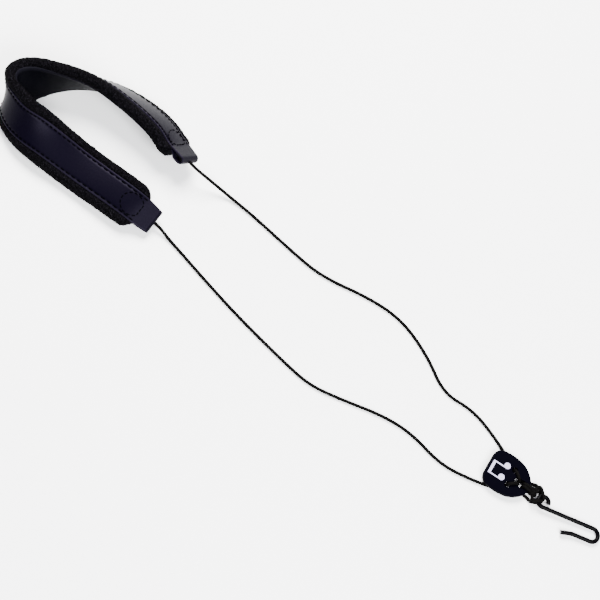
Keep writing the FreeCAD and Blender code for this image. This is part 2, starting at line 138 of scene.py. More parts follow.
SLIDER_X = 188.5
SLIDER_Y = -44.5
PLATE_BOTTOM = 2.3
PLATE_THICK = 3.2
PLATE_TOP = PLATE_BOTTOM + PLATE_THICK
PLATE_HALF_OUTLINE = [
    (0.6, 11.2), (2.2, 13.8), (5.5, 16.2), (10, 17.1), (15, 17.3), (20, 16.9),
    (25, 15.8), (29.5, 13.7), (33.5, 10.4), (36.8, 6.2),
]
PLATE_TIP = 38.6
TOP_EDGE_HALF = 8.4
SIDE_HOLE = (21.2, 7.0, 2.4)
CENTRE_SLOT_X = (24.4, 35.0)
CENTRE_SLOT_HALF = 3.3

EYE = (241.6, -46.7, 4.1)
EYE_R = 4.5
WIRE_D = 3.3
WIRE_CORE_D = 2.3
HOOK_TURN = 12.0
HOOK_TILT = 2.6
HOOK_BEND_U = 45.4
HOOK_BEND_R = 5.6
EYE_END_ANGLE = -6.0
RETURN_U = 29.5
TIP_LENGTH = 9.8
TIP_FLARE = 15.0
BIGHT_R = 2.85
BIGHT_REACH = 6.6
BIGHT_ANGLES = {"near": 212.0, "far": 131.0}
LEAD_IN = 6.0
CROSSING = (28.2, 1.3)
UNDER_CORNER = (31.5, 4.6)
LACING_END = {"near": (37.2, -5.4), "far": (37.2, 6.2)}
TAIL_HOLE = (32.6, 1.15)
TAIL_LIP = (38.6, 1.3)
TAIL_END_X = 41.2
TAIL_DIP = 1.5
OUT_LEAD = 3.0
OUT_VIA = {"near": (42.8, -6.75), "far": (42.9, 8.4)}
OUT_REACH = {"near": 9.0, "far": 10.4}
BACK_START = (42.6, 2.2, 4.6)
BACK_VIA = {"near": (43.0, -6.2, 6.0), "far": (43.4, 5.6, 6.0)}
BACK_REACH = {"near": 9.2, "far": 11.0}


# ---------------------------------------------------------------- shapes

def spline(points, first, last):
    """A smooth cubic through evenly numbered points with set end directions."""
    points = np.array(points, float)
    count = len(points)
    system = np.zeros((count, count))
    wanted = np.zeros_like(points)
    system[0, 0] = 1
    system[-1, -1] = 1
    wanted[0] = first
    wanted[-1] = last
    for index in range(1, count - 1):
        system[index, index - 1:index + 2] = (1, 4, 1)
        wanted[index] = 3 * (points[index + 1] - points[index - 1])
    slopes = np.linalg.solve(system, wanted)

    def at(steps):
        steps = np.atleast_1d(np.asarray(steps, float))
        index = np.clip(steps.astype(int), 0, count - 2)
        t = (steps - index)[:, None]
        return ((2 * t**3 - 3 * t**2 + 1) * points[index] + (t**3 - 2 * t**2 + t) * slopes[index]
                + (3 * t**2 - 2 * t**3) * points[index + 1] + (t**3 - t**2) * slopes[index + 1])
    return at


def unit(vectors):
    return vectors / np.linalg.norm(vectors, axis=-1, keepdims=True)


def pad_lines():
    """The pad's middle line and its direction across, as functions of the step along it."""
    middles = np.array([station[:3] for station in PAD_STATIONS], float)
    directions = np.zeros_like(middles)
    directions[0] = NEAR_END_DIRECTION
    directions[-1] = FAR_END_DIRECTION
    directions[1:-1] = middles[2:] - middles[:-2]
    along = unit(directions)
    inward = unit(np.cross(along, (0, 0, 1)))
    upward = np.cross(inward, along)
    lean = np.radians([station[3] for station in PAD_STATIONS])[:, None]
    raised = upward * np.cos(lean) + inward * np.sin(lean)
    middle = spline(middles, NEAR_END_DIRECTION, FAR_END_DIRECTION)
    across = spline(raised, raised[1] - raised[0], raised[-1] - raised[-2])
    return middle, across


MIDDLE, ACROSS = pad_lines()


def pad_frames(steps):
    """Centres, directions along and across, and outward normals at steps along the pad."""
    centre = MIDDLE(steps)
    nudge = 0.01
    along = unit(MIDDLE(np.clip(steps + nudge, 0, LAST)) - MIDDLE(np.clip(steps - nudge, 0, LAST)))
    across = ACROSS(steps)
    across = unit(across - along * np.sum(across * along, axis=1, keepdims=True))
    return centre, along, across, np.cross(across, along)


def pad_point(step, width, height):
    centre, _, across, outward = pad_frames(np.array([step]))
    return (centre + across * width + outward * height)[0]


def end_frame(side):
    """Frame at a pad end, its second vector pointing out of the end."""
    step = 0.0 if side == "near" else float(LAST)
    centre, along, across, outward = (part[0] for part in pad_frames(np.array([step])))
    if side == "near":
        along = -along
    return centre, along, across, outward


def end_point(side, out, width, height):
    centre, along, across, outward = end_frame(side)
    return centre + along * out + across * width + outward * height


def strip_half(steps):
    """Half the leather's width at steps along the pad."""
    share = np.minimum(1.0, np.minimum(steps, LAST - steps) / STRIP_TAPER_STEPS)
    return (STRIP_END_WIDTH + STRIP_EXTRA_WIDTH * share * share * (3 - 2 * share)) / 2


def end_loss(steps):
    """Width the padding loses on each edge near its ends."""
    share = np.maximum(0.0, 1 - np.minimum(steps, LAST - steps) / END_ROUNDING_STEPS)
    return END_ROUNDING * share * share


def steps_by_length(spacing):
    """Steps along the pad at an even spacing in millimetres."""
    fine = np.linspace(0, LAST, 1600)
    points = MIDDLE(fine)
    run = np.concatenate([[0], np.cumsum(np.linalg.norm(np.diff(points, axis=0), axis=1))])
    count = int(run[-1] / spacing) + 1
    return np.interp(np.linspace(0, run[-1], count), run, fine), run[-1]


def add_mesh(name, points, faces, material, uvs=None):
    """A smooth mesh object from points in millimetres."""
    mesh = bpy.data.meshes.new(name)
    mesh.from_pydata((np.asarray(points) * MM).tolist(), [], faces)
    mesh.polygons.foreach_set("use_smooth", [True] * len(mesh.polygons))
    if uvs is not None:
        layer = mesh.uv_layers.new(name="surface")
        layer.data.foreach_set("uv", np.asarray(uvs, float).ravel())
    mesh.update()
    mesh.materials.append(material)
    made = bpy.data.objects.new(name, mesh)
    bpy.context.scene.collection.objects.link(made)
    return made


def lofted(name, rings, material, along, caps=True):
    """A closed skin through rings of points; along gives each ring's first surface coordinate."""
    rings = np.asarray(rings, float)
    rows, columns = rings.shape[:2]
    faces = []
    uvs = []
    for row in range(rows - 1):
        for column in range(columns):
            after = (column + 1) % columns
            faces.append((row * columns + column, row * columns + after,
                          (row + 1) * columns + after, (row + 1) * columns + column))
            left = column / columns
            right = (column + 1) / columns
            uvs += [(along[row], left), (along[row], right),
                    (along[row + 1], right), (along[row + 1], left)]
    if caps:
        for row, order in ((0, -1), (rows - 1, 1)):
            ring = [row * columns + column for column in range(columns)][::order]
            faces.append(ring)
            uvs += [(along[row], 0.5)] * columns
    return add_mesh(name, rings.reshape(-1, 3), faces, material, uvs)


def path_frames(centres):
    """Tangents and two side vectors that turn as little as they can along a path."""
    centres = np.asarray(centres, float)
    tangents = unit(np.gradient(centres, axis=0))
    first = np.cross(tangents[0], (0, 0, 1))
    if np.linalg.norm(first) < 0.1:
        first = np.cross(tangents[0], (0, 1, 0))
    side = unit(first)
    sides = []
    for tangent in tangents:
        side = unit(side - tangent * np.dot(side, tangent))
        sides.append(side)
    sides = np.array(sides)
    return tangents, sides, np.cross(tangents, sides)


def run_lengths(centres):
    steps = np.linalg.norm(np.diff(centres, axis=0), axis=1)
    return np.concatenate([[0], np.cumsum(steps)])


def resampled(centres, spacing):
    """The same path with points at an even spacing."""
    run = run_lengths(centres)
    places = np.linspace(0, run[-1], max(int(run[-1] / spacing), 4) + 1)
    return np.stack([np.interp(places, run, centres[:, axis]) for axis in range(3)], axis=1)


def routed(points):
    """Points in millimetres along the smooth line that a route's points control."""
    curve = bpy.data.curves.new("route", "CURVE")
    curve.dimensions = "3D"
    curve.resolution_u = 24
    line = curve.splines.new("NURBS")
    line.points.add(len(points) - 1)
    for place, point in zip(line.points, points):
        place.co = (point[0] * MM, point[1] * MM, point[2] * MM, 1.0)
    line.order_u = 3
    line.use_endpoint_u = True
    holder = bpy.data.objects.new("route", curve)
    bpy.context.scene.collection.objects.link(holder)
    mesh = bpy.data.meshes.new_from_object(holder)
    found = np.array([vertex.co for vertex in mesh.vertices], float) / MM
    bpy.data.objects.remove(holder)
    bpy.data.curves.remove(curve)
    bpy.data.meshes.remove(mesh)
    return found


BRAID_PLAITS = 4
BRAID_PITCH = 7.0
BRAID_DEPTH = 0.045
BRAID_LEVEL = 0.85
# The braid is drawn thicker than the cord's own diameter, for its fuzz and to look as thick as it should.
SHOWN_CORD_D = 2.7


def braided(name, points, material, diameter=SHOWN_CORD_D, spacing=0.3, sides=20):
    """A braided round cord along a route; returns the piece and its ring centres."""
    centres = resampled(routed(points), spacing)
    _, side, other = path_frames(centres)
    run = run_lengths(centres)
    angles = np.linspace(0, 2 * math.pi, sides, endpoint=False)
    twist = 2 * math.pi * run[:, None] / BRAID_PITCH
    one_way = np.abs(np.cos(BRAID_PLAITS * (angles[None, :] + twist) / 2))
    other_way = np.abs(np.cos(BRAID_PLAITS * (angles[None, :] - twist) / 2))
    plaits = np.maximum(one_way, other_way)
    radius = diameter / 2 * (1 + BRAID_DEPTH * (plaits - BRAID_LEVEL))
    rings = (centres[:, None, :] + radius[..., None] * (
        np.cos(angles)[None, :, None] * side[:, None, :]
        + np.sin(angles)[None, :, None] * other[:, None, :]))
    return lofted(name, rings, material, run), centres


# ---------------------------------------------------------------- materials

class Surface:
    """A procedural material with its principled shader and short ways to add nodes."""

    def __init__(self, name, colour, roughness, metallic=0.0, specular=0.5):
        self.material = bpy.data.materials.new(name)
        self.material.use_nodes = True
        self.nodes = self.material.node_tree.nodes
        self.links = self.material.node_tree.links
        self.shader = self.nodes["Principled BSDF"]
        self.set("Base Color", (*colour, 1.0))
        self.set("Roughness", roughness)
        self.set("Metallic", metallic)
        self.set("Specular IOR Level", specular)

    def set(self, socket, value):
        self.shader.inputs[socket].default_value = value

    def add(self, kind, **values):
        node = self.nodes.new(kind)
        for key, value in values.items():
            if key in node.inputs:
                node.inputs[key].default_value = value
            else:
                setattr(node, key, value)
        return node

    def coordinates(self, output):
        return self.add("ShaderNodeTexCoord").outputs[output]

    def noise(self, scale, detail=3.0, roughness=0.5, source="Object"):
        node = self.add("ShaderNodeTexNoise", Scale=scale, Detail=detail, Roughness=roughness)
        self.links.new(self.coordinates(source), node.inputs["Vector"])
        return node.outputs["Fac"]

    def cells(self, scale, feature="F1"):
        node = self.add("ShaderNodeTexVoronoi", feature=feature, Scale=scale)
        self.links.new(self.coordinates("Object"), node.inputs["Vector"])
        return node.outputs["Distance"]

    def ramp(self, source, stops):
        """Colours at places along a value."""
        node = self.add("ShaderNodeValToRGB")
        elements = node.color_ramp.elements
        while len(elements) < len(stops):
            elements.new(0.5)
        for element, (place, colour) in zip(elements, stops):
            element.position = place
            element.color = (*colour, 1.0)
        self.links.new(source, node.inputs["Fac"])
        return node.outputs["Color"]

    def bump(self, source, distance, strength=1.0):
        """Adds a height to the surface, over any earlier one."""
        node = self.add("ShaderNodeBump", Strength=strength, Distance=distance)
        self.links.new(source, node.inputs["Height"])
        earlier = self.shader.inputs["Normal"].links
        if earlier:
            self.links.new(earlier[0].from_socket, node.inputs["Normal"])
        self.links.new(node.outputs["Normal"], self.shader.inputs["Normal"])

    def colour_from(self, output):
        self.links.new(output, self.shader.inputs["Base Color"])

    def roughness_from(self, source, low, high):
        node = self.add("ShaderNodeMapRange")
        node.inputs["To Min"].default_value = low
        node.inputs["To Max"].default_value = high
        self.links.new(source, node.inputs["Value"])
        self.links.new(node.outputs["Result"], self.shader.inputs["Roughness"])


def leather_material():
    surface = Surface("leather", (0.0012, 0.0009, 0.0026), 0.40, specular=0.030)
    surface.set("Specular Tint", (0.80, 0.72, 1.0, 1.0))
    around = surface.add("ShaderNodeSeparateXYZ")
    surface.links.new(surface.coordinates("UV"), around.inputs["Vector"])
    face = (0.0008, 0.0005, 0.0021)
    # The strip's rounded edges are coloured lighter than its face: a painted highlight along the leather's
    # edges.
    edge_highlight = (0.005, 0.004, 0.008)
    surface.colour_from(surface.ramp(around.outputs["Y"], [
        (0.0, edge_highlight), (0.012, face), (0.655, face), (0.67, edge_highlight), (0.74, face), (0.95, face),
        (0.97, edge_highlight)]))
    surface.roughness_from(surface.noise(900.0, 2.0), 0.34, 0.48)
    surface.bump(surface.cells(900.0), 0.00010, 0.4)
    surface.bump(surface.noise(2600.0, 2.0), 0.00004, 0.4)
    return surface.material


def mesh_material():
    surface = Surface("mesh_fabric", (0.0005, 0.0004, 0.0006), 0.9, specular=0.015)
    holes = surface.cells(800.0)
    specks = surface.noise(1900.0, 1.0, 0.4)
    surface.colour_from(surface.ramp(specks, [
        (0.42, (0.0002, 0.0002, 0.0003)),
        (0.60, (0.0008, 0.0006, 0.0010)),
        (0.70, (0.010, 0.009, 0.012))]))
    surface.bump(holes, 0.0008, 1.0)
    surface.bump(surface.noise(1500.0, 3.0, 0.7), 0.0004, 0.8)
    return surface.material


def lining_material():
    surface = Surface("lining", (0.0006, 0.0006, 0.0012), 0.5, specular=0.012)
    across = surface.add("ShaderNodeSeparateXYZ")
    surface.links.new(surface.coordinates("UV"), across.inputs["Vector"])
    cloth = (0.0006, 0.0006, 0.0012)
    binding = (0.0028, 0.0026, 0.0042)
    surface.colour_from(surface.ramp(across.outputs["Y"], [
        (0.0, binding), (0.03, binding), (0.05, cloth), (0.45, cloth), (0.47, binding), (0.5, binding)]))
    surface.bump(surface.noise(1800.0, 2.0), 0.00006, 0.5)
    return surface.material


def cord_material():
    surface = Surface("cord", (0.001, 0.0009, 0.0009), 0.75, specular=0.02)
    flecks = surface.noise(1400.0, 2.0, 0.6)
    surface.colour_from(surface.ramp(flecks, [
        (0.35, (0.0005, 0.0004, 0.0004)),
        (0.55, (0.0010, 0.0009, 0.0009)),
        (0.75, (0.0030, 0.0026, 0.0026))]))
    surface.bump(surface.noise(3500.0, 2.0), 0.00006, 0.5)
    return surface.material


def thread_material():
    surface = Surface("thread", (0.0002, 0.0002, 0.0004), 0.7, specular=0.005)
    surface.bump(surface.noise(5000.0, 2.0), 0.00005, 0.6)
    return surface.material


def slider_material():
    surface = Surface("slider_plastic", (0.0005, 0.0004, 0.0014), 0.45, specular=0.008)
    surface.roughness_from(surface.noise(300.0, 3.0), 0.32, 0.44)
    surface.bump(surface.noise(2200.0, 2.0), 0.00002, 0.5)
    return surface.material


def print_material():
    surface = Surface("printed_ink", (0.30, 0.29, 0.40), 0.55)
    surface.colour_from(surface.ramp(surface.noise(1200.0, 3.0, 0.7), [
        (0.28, (0.14, 0.13, 0.21)), (0.42, (0.32, 0.30, 0.43))]))
    return surface.material


def coating_material():
    surface = Surface("hook_coating", (0.0006, 0.0005, 0.0008), 0.36, specular=0.02)
    surface.roughness_from(surface.noise(400.0, 3.0), 0.26, 0.4)
    surface.bump(surface.noise(1200.0, 2.0), 0.00003, 0.5)
    return surface.material


def steel_material():
    surface = Surface("steel", (0.10, 0.10, 0.11), 0.35, metallic=1.0)
    surface.bump(surface.noise(2000.0, 2.0), 0.00002, 0.5)
    return surface.material


def foam_material():
    surface = Surface("foam", (0.004, 0.004, 0.0045), 0.9, specular=0.05)
    surface.bump(surface.cells(1200.0), 0.0003, 0.8)
    return surface.material


LEATHER = leather_material()
MESH = mesh_material()
LINING = lining_material()
CORD = cord_material()
THREAD = thread_material()
SLIDER = slider_material()
PRINT = print_material()
COATING = coating_material()
STEEL = steel_material()
FOAM = foam_material()


def finish_piece(piece, body, slot, *nodes):
    """A piece rides on a body and stands for CAD nodes."""
    if body:
        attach(piece, body)
    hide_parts(*nodes)


# ---------------------------------------------------------------- free cords


def cord_exit(side, lead):
    return end_point(side, KNOT_FACE + lead, 0, LOOP_MIDDLE)


def plate_point(x, y, z):
    return (SLIDER_X + x, SLIDER_Y + y, z)


def bight_point(side, reach, height):
    angle = math.radians(BIGHT_ANGLES[side])
    return (EYE[0] + reach * math.cos(angle), EYE[1] + reach * math.sin(angle), EYE[2] + height)


def make_free_cord(side, points):
    """A cord from the knot in its loop to the slider."""
    start = (*LACING_START[side], CORD_Z)
    route = [cord_exit(side, 0.0), cord_exit(side, CORD_LEAD), *points, start]
    piece, centres = braided("cord_" + side + "_braid", route, CORD)
    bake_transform(piece)
    finish_piece(piece, None, "cord", "cord_" + side)
    [value * MM for value in cord_exit(side, 0.0)]


FREE_CORD_ROUTES = {"near": NEAR_CORD, "far": FAR_CORD}
for side, _ in SIDES:
    make_free_cord(side, FREE_CORD_ROUTES[side])


# ---------------------------------------------------------------- cord at the slider and the hook

OVER_PLATE = PLATE_TOP + CORD_D / 2 + 0.15
STRAND_OUT_START = 0.2262
STRAND_BACK_START = 0.2318


def make_slider_cord(side, sign):
    """One side's cord through the plate, out to the hook's eye, back, and into the end knot."""
    lacing_start = np.array((*LACING_START[side], CORD_Z))
    arriving = unit(lacing_start - np.array(FREE_CORD_ROUTES[side][-1], float))
    lacing = [
        lacing_start,
        lacing_start + arriving * LEAD_IN,
        plate_point(SIDE_HOLE[0], sign * SIDE_HOLE[1], CORD_Z),
        plate_point(SIDE_HOLE[0], sign * SIDE_HOLE[1], OVER_PLATE),
        plate_point(CROSSING[0], sign * CROSSING[1], OVER_PLATE),
        plate_point(CROSSING[0], sign * CROSSING[1], CORD_Z),
        plate_point(UNDER_CORNER[0], sign * UNDER_CORNER[1], CORD_Z),
        plate_point(*LACING_END[side], CORD_Z),
    ]
    tail = [
        plate_point(TAIL_END_X, sign * TAIL_LIP[1], CORD_Z + TAIL_DIP),
        plate_point(TAIL_LIP[0], sign * TAIL_LIP[1], CORD_Z),
        plate_point(TAIL_HOLE[0], sign * TAIL_HOLE[1], CORD_Z),
        plate_point(TAIL_HOLE[0], sign * TAIL_HOLE[1], OVER_PLATE),
        plate_point(TAIL_LIP[0], sign * TAIL_LIP[1], OVER_PLATE),
        plate_point(TAIL_END_X, sign * TAIL_LIP[1], OVER_PLATE - TAIL_DIP),
    ]
    leaving = unit(np.array(lacing[-1]) - np.array(lacing[-2]))
    out_points = [
        lacing[-1],
        np.array(lacing[-1]) + leaving * OUT_LEAD,
        plate_point(*OUT_VIA[side], CORD_Z),
        bight_point(side, OUT_REACH[side], -BIGHT_R),
        bight_point(side, BIGHT_REACH, -BIGHT_R),
    ]
    back_points = [
        plate_point(BACK_START[0], sign * BACK_START[1], BACK_START[2]),
        plate_point(*BACK_VIA[side]),
        bight_point(side, BACK_REACH[side], BIGHT_R),
        bight_point(side, BIGHT_REACH, BIGHT_R),
    ]
    bight = [
        bight_point(side, BIGHT_REACH, BIGHT_R),
        bight_point(side, EYE_R - BIGHT_R, BIGHT_R),
        bight_point(side, EYE_R - BIGHT_R, -BIGHT_R),
        bight_point(side, BIGHT_REACH, -BIGHT_R),
    ]
    for name, route, body in (
            ("lacing_", lacing, "slider"), ("tail_", tail, "slider"), ("bight_", bight, "hook_loop")):
        piece, _ = braided(name + side + "_braid", route, CORD, spacing=0.25)
        finish_piece(piece, body, "cord", name + side)
    for name, route, start in (
            ("strand_out_", out_points, STRAND_OUT_START),
            ("strand_back_", back_points, STRAND_BACK_START)):
        piece, _ = braided(name + side + "_braid", route, CORD, spacing=0.15)
        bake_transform(piece)
        finish_piece(piece, None, "cord", name + side)


for side, sign in SIDES:
    make_slider_cord(side, sign)


LOOP_KNOT_CORD_D = 1.6
END_KNOT_CORD_D = 2.6
END_KNOT_MIDDLE = (42.6, 0, 3.9)
COIL_TURNS = 2.5
COIL_WIDTH = 5.8
COIL_REACH = 2.1
COIL_HEIGHT = 2.4


def knot_route(centre, first, second, third):
    """Points of an overhand knot drawn up tight round a centre, along three directions."""
    points = []
    for turn in np.linspace(0.3, 2 * math.pi - 0.3, 26):
        a = math.sin(turn) + 1.6 * math.sin(2 * turn)
        b = math.cos(turn) - 1.6 * math.cos(2 * turn)
        c = -1.1 * math.sin(3 * turn)
        points.append(centre + a * first + b * second + c * third)
    return points


def make_loop_knot(side):
    """The stopper knot inside a strip end's loop."""
    _, out, across, outward = end_frame(side)
    middle = end_point(side, KNOT_FACE - KNOT_LENGTH / 2, 0, LOOP_MIDDLE)
    route = knot_route(middle, across * 0.85, outward * 0.42, out * 1.2)
    knot, _ = braided("loop_knot_" + side + "_cord", route, CORD, diameter=LOOP_KNOT_CORD_D)
    finish_piece(knot, "neck_band", "cord", "loop_knot_" + side)


def make_end_knot():
    """The knot at the plate's tip: an overhand knot with turns of cord wrapped round it."""
    middle = np.array(plate_point(*END_KNOT_MIDDLE))
    route = knot_route(middle, np.array((0, 1.05, 0)), np.array((1.0, 0, 0.3)), np.array((0.2, 0, 2.1)))
    knot, _ = braided("end_knot_cord", route, CORD, diameter=END_KNOT_CORD_D)
    finish_piece(knot, "slider", "cord", "end_knot")
    coil = []
    for share in np.linspace(0, 1, 44):
        turn = 2 * math.pi * COIL_TURNS * share
        coil.append(middle + np.array((COIL_REACH * math.cos(turn), COIL_WIDTH * (0.5 - share),
                                       COIL_HEIGHT * math.sin(turn))))
    wrap, _ = braided("end_knot_wrap", coil, CORD, diameter=END_KNOT_CORD_D)
    finish_piece(wrap, "slider", "cord", "end_knot")


for side, _ in SIDES:
    make_loop_knot(side)
make_end_knot()


# ---------------------------------------------------------------- neck pad

LEATHER_CROWN = 0.45
STITCH_DIP = 0.35
STITCH_DIP_WIDTH = 0.8
# The leather is flat at the strip's ends and reaches its full crown this many steps in.
CROWN_STEPS = 0.25


def crown_share(steps):
    return np.clip(np.minimum(steps, LAST - steps) / CROWN_STEPS, 0, 1)


def strip_path():
    """Middle line of the leather, from one tucked end round its loop, along the pad, to the other."""
    top = STRIP_LOW + STRIP_THICK / 2
    radius = (LOOP_HEIGHT - STRIP_THICK) / 2
    far = LOOP_LENGTH - LOOP_HEIGHT / 2
    bottom = top - 2 * radius
    under = spline([(-1.0, top - 1.6), (1.2, top - 2.0), (3.8, (top + bottom) / 2 - 0.3),
                    (6.8, bottom + 0.1), (far, bottom)], (3, -0.3), (5, 0))(np.linspace(0, 4, 22))
    angles = np.linspace(-math.pi / 2, math.pi / 2, 16)[1:]
    fold = np.stack([far + radius * np.cos(angles), (top + bottom) / 2 + radius * np.sin(angles)], 1)
    over = np.stack([np.linspace(far, 0, 12)[1:-1], np.full(10, top)], axis=1)
    profile = np.concatenate([under, fold, over])
    near = np.array([end_point("near", out, 0, height) for out, height in profile])
    distant = np.array([end_point("far", out, 0, height) for out, height in profile[::-1]])
    steps, _ = steps_by_length(1.0)
    centre, _, across, outward = pad_frames(steps)
    body = centre + outward * top
    line = np.concatenate([near, body, distant])
    count = len(profile)
    sides = np.concatenate([np.repeat(across[:1], count, 0), across, np.repeat(across[-1:], count, 0)])
    crown = np.concatenate([np.zeros(count), crown_share(steps), np.zeros(count)])
    share = np.clip(profile[:, 0] / LOOP_LENGTH, 0, 1)
    loop_half = (STRIP_END_WIDTH - (STRIP_END_WIDTH - LOOP_END_WIDTH) * share) / 2
    halves = np.concatenate([loop_half, strip_half(steps), loop_half[::-1]])
    return line, sides, crown, halves


def leather_ring(centre, across, normal, crown, half):
    """One section of the strip: crowned face, rounded edges, dips along the stitch lines."""
    edge = STRIP_THICK / 2
    reach = half - edge
    widths = np.linspace(-reach, reach, 41)
    face = edge + crown * LEATHER_CROWN * (1 - (widths / reach) ** 2)
    stitch_line = half - STITCH_INSET
    face -= crown * STITCH_DIP * np.exp(-((np.abs(widths) - stitch_line) / STITCH_DIP_WIDTH) ** 2)
    section = list(zip(widths, face))
    for angle in np.linspace(math.pi / 2, -math.pi / 2, 7)[1:-1]:
        section.append((reach + edge * math.cos(angle), edge * math.sin(angle)))
    section += [(width, -edge) for width in np.linspace(reach, -reach, 9)]
    for angle in np.linspace(-math.pi / 2, -3 * math.pi / 2, 7)[1:-1]:
        section.append((-reach + edge * math.cos(angle), edge * math.sin(angle)))
    section = np.array(section)
    return centre + section[:, :1] * across + section[:, 1:] * normal


def make_strip():
    """The leather strip in one piece with both folded loops."""
    line, sides, crown, halves = strip_path()
    tangents = unit(np.gradient(line, axis=0))
    normals = unit(np.cross(sides, tangents))
    rings = [leather_ring(*parts) for parts in zip(line, sides, normals, crown, halves)]
    strip = lofted("leather_strip_sewn", rings, LEATHER, run_lengths(line))
    finish_piece(strip, "neck_band", "leather", "leather_strip")


FULL_HALF = (STRIP_END_WIDTH + STRIP_EXTRA_WIDTH) / 2


def padding_section():
    """Section of the padded cover as width, height pairs, dense enough for its nap."""
    radius = (LOBE_OUTSIDE - LOBE_INSIDE) / 2
    middle = (LOBE_OUTSIDE + LOBE_INSIDE) / 2
    side = FULL_HALF + LOBE_BEYOND - radius
    section = [(width, LOBE_INSIDE) for width in np.linspace(-side, side, 44)[:-1]]
    for angle in np.linspace(-math.pi / 2, math.pi / 2, 22):
        section.append((side + radius * math.cos(angle), middle + radius * math.sin(angle)))
    section += [(FULL_HALF + 0.5, STRIP_LOW + 0.6), (FULL_HALF - 0.6, STRIP_LOW)]
    section += [(width, STRIP_LOW) for width in np.linspace(12, -12, 10)]
    section += [(0.6 - FULL_HALF, STRIP_LOW), (-FULL_HALF - 0.5, STRIP_LOW + 0.6)]
    for angle in np.linspace(math.pi / 2, 3 * math.pi / 2, 22)[:-1]:
        section.append((-side + radius * math.cos(angle), middle + radius * math.sin(angle)))
    return np.array(section)


NAP = 0.8
END_CAP = [(1.3, 0.72), (1.0, 0.88), (0.5, 0.97)]


def make_cover():
    """The padding: its nap makes it lumpy all over but not under the leather and the lining."""
    section = padding_section()
    steps, _ = steps_by_length(0.8)
    beyond = np.array([out for out, scale in END_CAP])
    steps = np.concatenate([np.zeros(len(END_CAP)), steps, np.full(len(END_CAP), float(LAST))])
    push = np.concatenate([-beyond, np.zeros(len(steps) - 2 * len(END_CAP)), beyond[::-1]])
    scales = np.concatenate([[scale for out, scale in END_CAP], np.ones(len(steps) - 2 * len(END_CAP)),
                             [scale for out, scale in END_CAP[::-1]]])
    centre, along, across, outward = pad_frames(steps)
    centre = centre + along * push[:, None]
    places = run_lengths(centre)
    rings = []
    middle = np.array((0.0, 0.4))
    slopes = np.roll(section, -1, axis=0) - np.roll(section, 1, axis=0)
    out = unit(np.stack([slopes[:, 1], -slopes[:, 0]], axis=1))
    bare = (np.abs(section[:, 0]) > FULL_HALF + 0.4) | (section[:, 1] < LOBE_INSIDE + 0.1)
    bare &= ~((np.abs(section[:, 0]) < FULL_HALF + LINING_BEYOND - 1) & (section[:, 1] < 0))
    widths = (strip_half(steps) + LOBE_BEYOND - end_loss(steps)) / (FULL_HALF + LOBE_BEYOND)
    for row in range(len(steps)):
        flat = middle + (section - middle) * scales[row]
        flat = flat * np.array((widths[row], 1.0))
        points = centre[row] + flat[:, :1] * across[row] + flat[:, 1:] * outward[row]
        heights = np.zeros(len(section))
        for column in np.nonzero(bare)[0]:
            place = Vector(points[column])
            coarse = noise.noise(place * 0.42)
            fine = noise.noise(place * 0.95 + Vector((40, 0, 0)))
            heights[column] = NAP * max(0.1, 0.42 + 0.5 * coarse + 0.55 * fine)
        lift = out[:, :1] * across[row] + out[:, 1:] * outward[row]
        rings.append(points + lift * heights[:, None])
    cover = lofted("mesh_cover_padded", rings, MESH, places)
    finish_piece(cover, "neck_band", "mesh", "mesh_cover")


def make_lining():
    """The smooth lining on the neck side, with a turned edge."""
    steps, length = steps_by_length(1.2)
    centre, _, across, outward = pad_frames(steps)
    half = 0.45
    full = FULL_HALF + LINING_BEYOND
    reach = full - half
    widths = np.linspace(reach, -reach, 25)
    section = [(width, -half - 0.2 * (abs(width) > reach - 1.3)) for width in widths]
    section += [(-full, 0.0)]
    section += [(width, half) for width in np.linspace(-reach, reach, 25)]
    section += [(full, 0.0)]
    section = np.array(section)
    level = LOBE_INSIDE - 0.35
    widths = (strip_half(steps) + LINING_BEYOND - 0.6 * end_loss(steps)) / full
    rings = (centre[:, None, :]
             + section[None, :, :1] * widths[:, None, None] * across[:, None, :]
             + (section[None, :, 1:] + level) * outward[:, None, :])
    lining = lofted("inner_lining_sewn", rings, LINING, np.linspace(0, length, len(steps)))
    finish_piece(lining, "neck_band", "lining", "inner_lining")


STITCH_R = 0.42
END_SEAM_RISE = 0.4


def stitches(name, spans, node):
    """Stitches as short threads whose ends go down into the leather."""
    points = []
    faces = []
    sides = 6
    for start, end, normal in spans:
        direction = unit(end - start)
        other = np.cross(direction, normal)
        first = len(points)
        levels = (-0.35, 0.05, 0.2, 0.2, 0.05, -0.35)
        places = (0.0, 0.12, 0.32, 0.68, 0.88, 1.0)
        for place, level in zip(places, levels):
            middle = start + (end - start) * place + normal * level
            for turn in range(sides):
                angle = 2 * math.pi * turn / sides
                points.append(middle + STITCH_R * (math.cos(angle) * other + math.sin(angle) * normal))
        for ring in range(len(places) - 1):
            for turn in range(sides):
                after = (turn + 1) % sides
                base = first + ring * sides
                faces.append((base + turn, base + after, base + sides + after, base + sides + turn))
        faces.append(tuple(first + turn for turn in reversed(range(sides))))
        faces.append(tuple(first + (len(places) - 1) * sides + turn for turn in range(sides)))
    piece = add_mesh(name, points, faces, THREAD)
    finish_piece(piece, "neck_band", "thread", node)


def make_edge_stitches(sign, node):
    """The row of stitches along one edge of the leather."""
    length = steps_by_length(1.0)[1]
    count = int(length / STITCH_PITCH)
    half = LAST * STITCH_LENGTH / length / 2
    spans = []
    for index in range(count):
        middle = LAST * (index + 0.5) / count
        normal = pad_frames(np.array([middle]))[3][0]
        ends = []
        for step in (middle - half, middle + half):
            width = sign * (strip_half(np.array([step]))[0] - STITCH_INSET)
            ends.append(pad_point(step, width, STRIP_HIGH))
        spans.append((ends[0], ends[1], normal))
    stitches(node + "_thread", spans, node)


